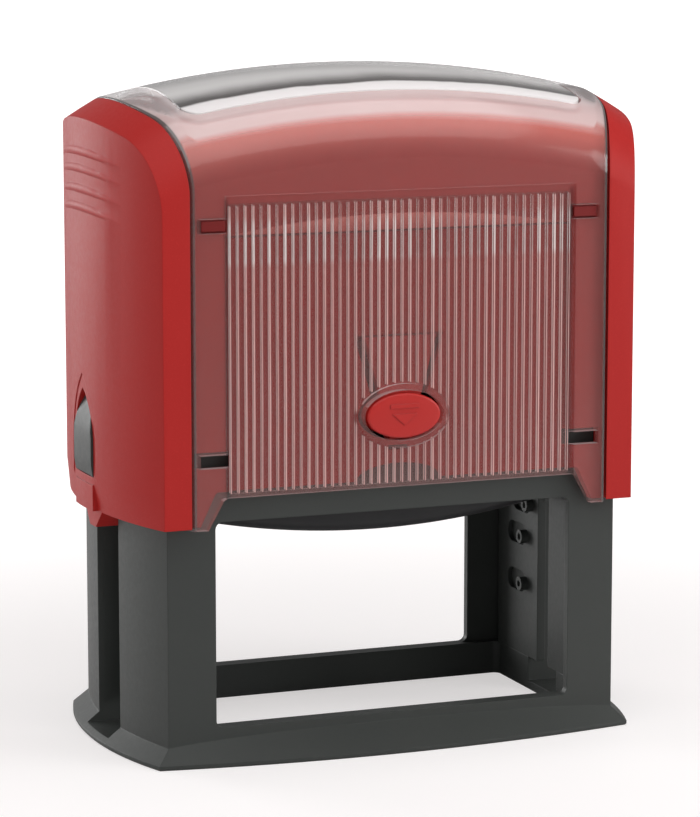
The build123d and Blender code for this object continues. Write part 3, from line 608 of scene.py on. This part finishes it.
        # Painted reflection on the shoulders, whiter near the top and grey on the level top near the ends.
        milk = shader.blend(tilt.step(*self.white_tilt), self.milk, self.white)
        tone = shader.blend(reflection_mask.clamped(), tone, shader.blend(level, milk, self.top_grey))
        # Painted highlight lines in the rib valleys.
        tone = shader.blend(lines, tone, shader.blend(bright, self.line, self.bright_line))
        tone = shader.blend(rim, tone, self.rim)
        alpha = warm * self.warm_cover + reflection_mask * self.milky_cover
        alpha = alpha + lines * (bright * self.bright_cover + self.line_cover)
        alpha = alpha + rim * self.rim_cover + flank * self.flank_cover + gutter * self.gutter_cover
        alpha = alpha + (flow * self.flow_cover + (self.cover - self.flow_cover / 2))
        shader.set(Base_Color=tone, Alpha=alpha.clamped(), Roughness=flow * 0.1 + 0.08)
        self.polish(shader, 0.05)
        return shader.material


@dataclass(frozen=True)
class PrintedCard:
    """Uncoated white card with a faint paper tooth."""

    name: str = "white_card"
    colour: Colour = (0.86, 0.86, 0.85)
    shade: Colour = (0.78, 0.78, 0.76)
    tooth_scale: float = 1900.0
    tooth_depth: float = 0.05 * MM

    def make(self) -> bpy.types.Material:
        """The finished material."""
        shader = Shader(self.name)
        tooth = shader.noise(self.tooth_scale, 4.0)
        shader.set(
            Base_Color=shader.blend(tooth.step(0.35, 0.75) * 0.2, self.colour, self.shade),
            Roughness=0.8,
            Normal=shader.bump(tooth, 0.25, self.tooth_depth),
        )
        return shader.material


@dataclass(frozen=True)
class SpringWire:
    """Drawn steel wire, bright, with fine lines from the die."""

    name: str = "spring_wire"
    dark: Colour = (0.52, 0.52, 0.54)
    light: Colour = (0.68, 0.68, 0.69)
    line_scale: float = 900.0
    line_depth: float = 0.04 * MM

    def make(self) -> bpy.types.Material:
        """The finished material."""
        shader = Shader(self.name)
        lines = shader.noise(self.line_scale, 4.0, 0.7)
        shader.set(
            Base_Color=shader.blend(lines, self.dark, self.light),
            Metallic=1.0,
            Roughness=lines * 0.2 + 0.2,
            Normal=shader.bump(lines, 0.15, self.line_depth),
        )
        return shader.material


@dataclass(frozen=True)
class InkedFelt:
    """Felt soaked with black ink: short fibres, damp patches."""

    name: str = "inked_felt"
    ink: Colour = (0.006, 0.006, 0.012)
    dry: Colour = (0.035, 0.035, 0.05)
    fibre_scale: float = 2400.0
    fibre_depth: float = 0.3 * MM
    damp_scale: float = 90.0

    def make(self) -> bpy.types.Material:
        """The finished material."""
        shader = Shader(self.name)
        fibre = shader.noise(self.fibre_scale, 5.0, 0.75)
        damp = shader.noise(self.damp_scale, 3.0).step(0.4, 0.65)
        shader.set(
            Base_Color=shader.blend(fibre, self.ink, self.dry),
            Roughness=0.85 - damp * 0.4,
            Normal=shader.bump(fibre, 0.8, self.fibre_depth),
            Sheen_Weight=0.3,
        )
        return shader.material


@dataclass(frozen=True)
class CellularRubber:
    """Rubber or foam with an even matt skin and fine cells."""

    name: str
    colour: Colour
    cell_scale: float
    depth: float

    def make(self) -> bpy.types.Material:
        """The finished material."""
        shader = Shader(self.name)
        cells = shader.node("ShaderNodeTexVoronoi", {"feature": "F1"}, shader.place(), None, self.cell_scale)
        cloud = shader.noise(60.0, 3.0)
        darker = tuple(c * 0.6 for c in self.colour)
        shader.set(
            Base_Color=shader.blend(cloud.step(0.3, 0.7) * 0.5, self.colour, darker),
            Roughness=cloud * 0.15 + 0.6,
            Normal=shader.bump(cells, 0.4, self.depth, 0.1 * MM),
        )
        return shader.material


RED_SHELL = ShellPlastic("red_shell", (0.41, 0.014, 0.012), (0.45, 0.020, 0.016), speckle=0.10, gloss=0.2)
RED_ABS = MouldedPlastic("red_abs", (0.41, 0.014, 0.012), (0.45, 0.020, 0.016), speckle=0.10, gloss=0.2)
RED_SMOOTH = MouldedPlastic(
    "red_smooth", (0.46, 0.017, 0.014), (0.50, 0.023, 0.018), grain=0.08, roughness=0.34, gloss=0.35
)
DARK_ABS = MouldedPlastic("dark_grey_abs", (0.040, 0.044, 0.041), (0.048, 0.051, 0.047), roughness=0.5)
BLACK_ABS = MouldedPlastic("black_abs", (0.018, 0.018, 0.019), (0.024, 0.024, 0.025), roughness=0.42)
FOAM = CellularRubber("foam", (0.20, 0.20, 0.21), 2600.0, 0.2 * MM)
PLATE_RUBBER = CellularRubber("plate_rubber", (0.30, 0.06, 0.045), 3800.0, 0.04 * MM)


# ---------------------------------------------------------------- mesh tools
class Side(Enum):
    """The two ends of the stamp."""

    LEFT = "left"
    RIGHT = "right"


class Part:
    """Base of every sub-assembly: dresses frame nodes and adds finished pieces."""

    body = "base"
    sharp_angle = math.radians(28)
    weld = 0.002 * MM

    def smoothed(self, node: str, finish: bpy.types.Material) -> bpy.types.Object:
        """Puts a welded copy in place of a frame node, with soft shading on its round faces.

        Args:
            node: The node's name.
            finish: The material.

        Returns:
            The new piece.
        """
        mesh = bmesh.new()
        mesh.from_mesh(frame["nodes"][node].data)
        bmesh.ops.remove_doubles(mesh, verts=mesh.verts, dist=self.weld)
        self.soften(mesh)
        piece = self.finished(mesh, f"{node}_skin", finish)
        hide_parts(node)
        return piece

    def soften(self, mesh: bmesh.types.BMesh) -> None:
        """Smooth faces, with creases only where they meet sharply.

        Args:
            mesh: The mesh to shade.
        """
        for face in mesh.faces:
            face.smooth = True
        for edge in mesh.edges:
            edge.smooth = len(edge.link_faces) == 2 and edge.calc_face_angle(0.0) < self.sharp_angle

    def finished(
        self, mesh: bmesh.types.BMesh, name: str, finish: bpy.types.Material, body: Optional[str] = None
    ) -> bpy.types.Object:
        """Turns a bmesh into a piece that rides on its body.

        Args:
            mesh: The finished mesh, which is freed.
            name: The piece's name.
            finish: The material.
            body: The body it rides on, or None for the sub-assembly's own.

        Returns:
            The new piece.
        """
        data = bpy.data.meshes.new(name)
        mesh.to_mesh(data)
        mesh.free()
        data.materials.append(finish)
        piece = bpy.data.objects.new(name, data)
        bpy.context.scene.collection.objects.link(piece)
        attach(piece, body or self.body)
        log.info("made %s: %d faces", name, len(data.polygons))
        return piece


@dataclass
class BasePart(Part):
    """The frame on its foot, with the cam guides, the deck and the ink pad."""

    body = "base"
    pad_edge: float = 1.2 * MM
    pad_crown: float = 0.45 * MM
    pad_crown_power: int = 4
    pad_face: float = 0.5 * MM
    pad_cuts: int = 20
    pad_shortest: float = 8 * MM

    def build(self, dark: bpy.types.Material, black: bpy.types.Material) -> None:
        """Dresses the frame and makes the ink pad.

        Args:
            dark: Finish of the frame.
            black: Finish of the tray.
        """
        for node in ("base_frame", "left_cam_guide", "right_cam_guide", "spring_deck"):
            self.smoothed(node, dark)
        self.smoothed("ink_tray", black)
        self.ink_pad()

    def ink_pad(self) -> None:
        """The felt pad, slightly crowned towards the text plate, with soft edges."""
        low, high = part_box("ink_pad")
        size, middle = high - low, (low + high) / 2
        mesh = bmesh.new()
        bmesh.ops.create_cube(mesh, size=1.0)
        bmesh.ops.scale(mesh, vec=size, verts=mesh.verts)
        bmesh.ops.translate(mesh, vec=middle, verts=mesh.verts)
        bmesh.ops.bevel(
            mesh, geom=mesh.edges, offset=self.pad_edge, segments=3, profile=0.5, affect="EDGES", material=-1
        )
        long_edges = [edge for edge in mesh.edges if edge.calc_length() > self.pad_shortest]
        bmesh.ops.subdivide_edges(mesh, edges=long_edges, cuts=self.pad_cuts, use_grid_fill=True)
        for vert in mesh.verts:
            reach_x = abs(vert.co.x - middle.x) / (size.x / 2)
            reach_y = abs(vert.co.y - middle.y) / (size.y / 2)
            if vert.co.z < low.z + self.pad_face:
                vert.co.z += self.pad_crown * max(reach_x, reach_y) ** self.pad_crown_power
        self.soften(mesh)
        piece = self.finished(mesh, "ink_pad_felt", InkedFelt().make())
        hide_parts("ink_pad")


class HousingPart(Part):
    """The pressed housing: red shell, smoky cover, index card and side pieces."""

    body = "housing"

    def build(self, red: bpy.types.Material, dark: bpy.types.Material, black: bpy.types.Material) -> None:
        """Dresses the housing's pieces.

        Args:
            red: Finish of the axle caps.
            dark: Finish of the side inserts.
            black: Finish of the spring cup.
        """
        self.smoothed("housing_shell", RED_SHELL.make())
        self.smoothed("clear_cover", RibbedCover().make())
        self.smoothed("index_card", PrintedCard().make())
        self.smoothed("spring_cup", black)
        for side in Side:
            self.smoothed(f"{side.value}_axle_cap", red)
            self.smoothed(f"{side.value}_side_insert", dark)


class ButtonPart(Part):
    """The two lock buttons on their bending arms."""

    def build(self, red: bpy.types.Material) -> None:
        """Dresses both buttons.

        Args:
            red: Their finish.
        """
        for hand in ("front", "rear"):
            self.body = f"{hand}_button"
            self.smoothed(f"lock_button_{hand}", red)


class LidPart(Part):
    """The lift-off window over the index card."""

    body = "window"

    def build(self) -> None:
        """Dresses the window."""
        self.smoothed("index_window", GlossyLid().make())


class CarrierPart(Part):
    """The turning carrier with its cams, axle pins, foam and text plate."""

    body = "carrier"

    def build(self, black: bpy.types.Material, wire: bpy.types.Material) -> None:
        """Dresses the carrier's pieces.

        Args:
            black: Finish of the carrier and cams.
            wire: Finish of the steel pins.
        """
        self.smoothed("stamp_carrier", black)
        for side in Side:
            self.smoothed(f"{side.value}_flip_cam", black)
            self.smoothed(f"{side.value}_axle_pin", wire)
        self.smoothed("mount_cushion", FOAM.make())
        self.smoothed("text_plate", PLATE_RUBBER.make())


class SpringPart(Part):
    """The return spring, which in the real stamp shortens between the deck and the roof."""

    body = "base"

    def build(self, wire: bpy.types.Material) -> None:
        """Puts a smoothed copy in place of the return spring, with a mesh of its own.

        Args:
            wire: Its finish.
        """
        low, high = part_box("return_spring")
        travel = next(j for j in frame["joints"] if j["name"] == "press")["range_m"][1]
        length = high.z - low.z
        piece = self.smoothed("return_spring", wire)
        keep = (length - travel) / length
        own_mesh(piece)


# ---------------------------------------------------------------- studio
@dataclass(frozen=True)
class BroadLight:
    """One broad even light from far away: its direction, the degrees that it fills, and its strength."""

    name: str
    source: Place
    softness: float
    strength: float

    def build(self) -> None:
        """Hangs the light."""
        data = bpy.data.lights.new(self.name, "SUN")
        data.angle = math.radians(self.softness)
        data.energy = self.strength
        lamp = bpy.data.objects.new(self.name, data)
        lamp.matrix_world = (-Vector(self.source)).to_track_quat("-Z", "Y").to_matrix().to_4x4()
        bpy.context.scene.collection.objects.link(lamp)


@dataclass(frozen=True)
class SoftLight:
    """One soft square light: its place, what it points at, its side in metres, and its watts."""

    name: str
    place: Place
    target: Place
    size: float
    power: float

    def build(self) -> None:
        """Hangs the light."""
        data = bpy.data.lights.new(self.name, "AREA")
        data.size = self.size
        data.energy = self.power
        lamp = bpy.data.objects.new(self.name, data)
        aim = Vector(self.target) - Vector(self.place)
        turn = aim.to_track_quat("-Z", "Y").to_matrix().to_4x4()
        lamp.matrix_world = Matrix.Translation(self.place) @ turn
        bpy.context.scene.collection.objects.link(lamp)


LIGHTS = (
    SoftLight("overhead", (0.0, -0.16, 0.42), (0, 0, 0.08), 0.45, 1.0),
    BroadLight("left", (-1.0, -0.3, 0.12), 35.0, 0.38),
    BroadLight("right", (1.0, -0.4, 0.15), 35.0, 0.22),
    SoftLight("fill", (0.8, -0.8, 0.35), (0, 0, 0.07), 0.5, 1.1),
    SoftLight("near_right", (0.38, -0.30, 0.18), (0.03, 0, 0.08), 0.25, 0.6),
    SoftLight("rim", (-0.5, 0.9, 0.25), (0, 0, 0.06), 0.5, 4.5),
)


@dataclass(frozen=True)
class Studio:
    """Camera, floor and surroundings."""

    yaw: float = math.radians(21.366)
    pitch: float = math.radians(9.165)
    lens: float = 152.16
    sensor: float = 36.0
    nearest: float = 0.01
    camera_place: Place = (-0.26835, -0.68788, 0.187255)
    floor_size: float = 6.0
    floor_colour: Colour = (0.9, 0.88, 0.88)
    floor_roughness: float = 0.55
    floor_light: Colour = (1.0, 0.97, 0.965)
    floor_glow: float = 0.4
    floor_strength: float = 1.4
    floor_fade: Span = (0.10, 0.40)
    surround_light: float = 0.32
    surround_seen: float = 1.0

    def build(self) -> None:
        """Sets up the whole stage."""
        self.camera()
        self.floor()
        self.world()
        for lamp in LIGHTS:
            lamp.build()

    def camera(self) -> None:
        """The camera, looking slightly down at the front and the left end."""
        data = bpy.data.cameras.new("camera")
        data.lens = self.lens
        data.sensor_width = self.sensor
        data.clip_start = self.nearest
        camera = bpy.data.objects.new("camera", data)
        turn = Matrix.Rotation(-self.yaw, 4, "Z") @ Matrix.Rotation(math.pi / 2 - self.pitch, 4, "X")
        camera.matrix_world = Matrix.Translation(self.camera_place) @ turn
        bpy.context.scene.collection.objects.link(camera)
        bpy.context.scene.camera = camera

    def floor(self) -> None:
        """A plain pale floor."""
        mesh = bmesh.new()
        bmesh.ops.create_grid(mesh, x_segments=1, y_segments=1, size=self.floor_size)
        data = bpy.data.meshes.new("floor")
        mesh.to_mesh(data)
        mesh.free()
        shader = Shader("floor")
        shader.set(Base_Color=self.floor_colour, Roughness=self.floor_roughness)
        away = shader.node("ShaderNodeVectorMath", {"operation": "LENGTH"}, shader.place(), out=1)
        far = away.step(*self.floor_fade)
        seen = shader.node("ShaderNodeLightPath", {})
        share = seen * (far * (1.0 - self.floor_glow) + self.floor_glow)
        shader.glow(share, self.floor_light, self.floor_strength)
        data.materials.append(shader.material)
        floor = bpy.data.objects.new("floor", data)
        bpy.context.scene.collection.objects.link(floor)

    def world(self) -> None:
        """Even pale surroundings."""
        world = bpy.data.worlds.new("surroundings")
        world.use_nodes = True
        tree = world.node_tree
        back = tree.nodes["Background"]
        back.inputs["Color"].default_value = (1.0, 1.0, 1.0, 1.0)
        path = tree.nodes.new("ShaderNodeLightPath")
        level = tree.nodes.new("ShaderNodeMapRange")
        level.inputs["To Min"].default_value = self.surround_light
        level.inputs["To Max"].default_value = self.surround_seen
        tree.links.new(path.outputs["Is Camera Ray"], level.inputs["Value"])
        tree.links.new(level.outputs[0], back.inputs["Strength"])
        bpy.context.scene.world = world


def main() -> None:
    """Builds every sub-assembly and the studio."""
    logging.basicConfig(level=logging.INFO, format="%(name)s: %(message)s")
    bpy.context.scene.view_settings.view_transform = "Standard"
    red, dark, black = RED_ABS.make(), DARK_ABS.make(), BLACK_ABS.make()
    wire = SpringWire().make()
    BasePart().build(dark, black)
    HousingPart().build(red, dark, black)
    ButtonPart().build(RED_SMOOTH.make())
    LidPart().build()
    CarrierPart().build(black, wire)
    SpringPart().build(wire)
    Studio().build()


if __name__ == "__main__":
    main()
